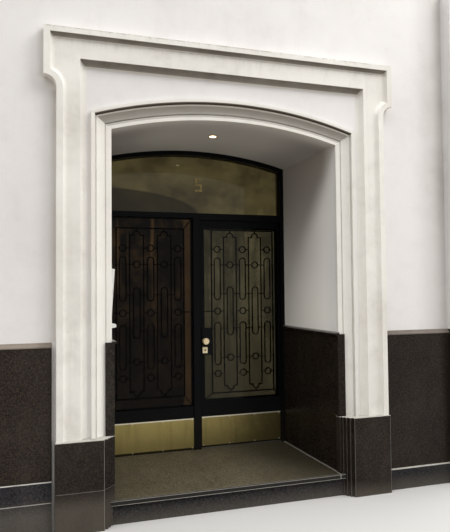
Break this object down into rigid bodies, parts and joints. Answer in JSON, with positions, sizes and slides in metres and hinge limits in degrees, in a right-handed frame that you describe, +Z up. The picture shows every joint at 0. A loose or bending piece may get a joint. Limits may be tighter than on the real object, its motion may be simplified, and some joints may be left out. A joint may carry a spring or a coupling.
{
  "type": "recessed arched entrance portal with a glazed swing door",
  "caption": "Street entrance in a plastered wall: eared surround, arched moulding, granite plinths and a deep porch with a grilled glass door and a fixed side panel.",
  "frame": {"origin": "on the ground, in the middle of the object from side to side and from front to back", "axes": "+Z up, +Y into the building, +X to the right as seen from the street"},
  "size_m": [4.28, 1.455, 4.38],
  "materials": {
    "plaster": "matte",
    "render_moulding": "matte",
    "granite": "satin",
    "dark_steel": "satin",
    "glass": "polished",
    "brass": "satin",
    "white_plastic": "satin",
    "lamp_metal": "satin"
  },
  "bodies": {
    "portal": {"left_wall": "plaster", "right_wall": "plaster", "wall_head": "plaster", "right_pier": "plaster", "left_porch_wall": "plaster", "right_porch_wall": "plaster", "porch_vault": "plaster", "left_pilaster": "render_moulding", "right_pilaster": "render_moulding", "eared_head": "render_moulding", "left_architrave": "render_moulding", "right_architrave": "render_moulding", "arched_architrave": "render_moulding", "left_dado_ledge": "render_moulding", "right_dado_ledge": "render_moulding", "right_pier_base": "granite", "left_dado": "granite", "right_dado": "granite", "left_base_course": "granite", "right_base_course": "granite", "left_plinth_block": "granite", "right_plinth_block": "granite", "left_reveal_dado": "granite", "right_reveal_dado": "granite", "porch_paving": "granite", "porch_riser": "granite", "left_jamb": "dark_steel", "right_jamb": "dark_steel", "arched_door_head": "dark_steel", "transom_bar": "dark_steel", "door_post": "dark_steel", "panel_foot_rail": "dark_steel", "panel_grille": "dark_steel", "panel_glazing_bead": "dark_steel", "hinge_pins": "dark_steel", "fanlight_glass": "glass", "panel_glass": "glass", "panel_kick_plate": "brass", "house_number": "white_plastic", "intercom_box": "white_plastic", "ceiling_light": "lamp_metal"},
    "door_leaf": {"leaf_frame": "dark_steel", "leaf_glass": "glass", "leaf_grille": "dark_steel", "leaf_glazing_bead": "dark_steel", "leaf_kick_plate": "brass", "hinge_knuckles": "dark_steel", "lock_case": "dark_steel", "door_knob": "brass", "keyhole_block": "brass"}
  },
  "joints": [
    {"name": "door_hinge", "type": "hinge", "parent": "portal", "child": "door_leaf", "pos_m": [0.922, 0.6515, 1.3], "axis": [0, 0, -1], "range_deg": [0, 90]}
  ]
}
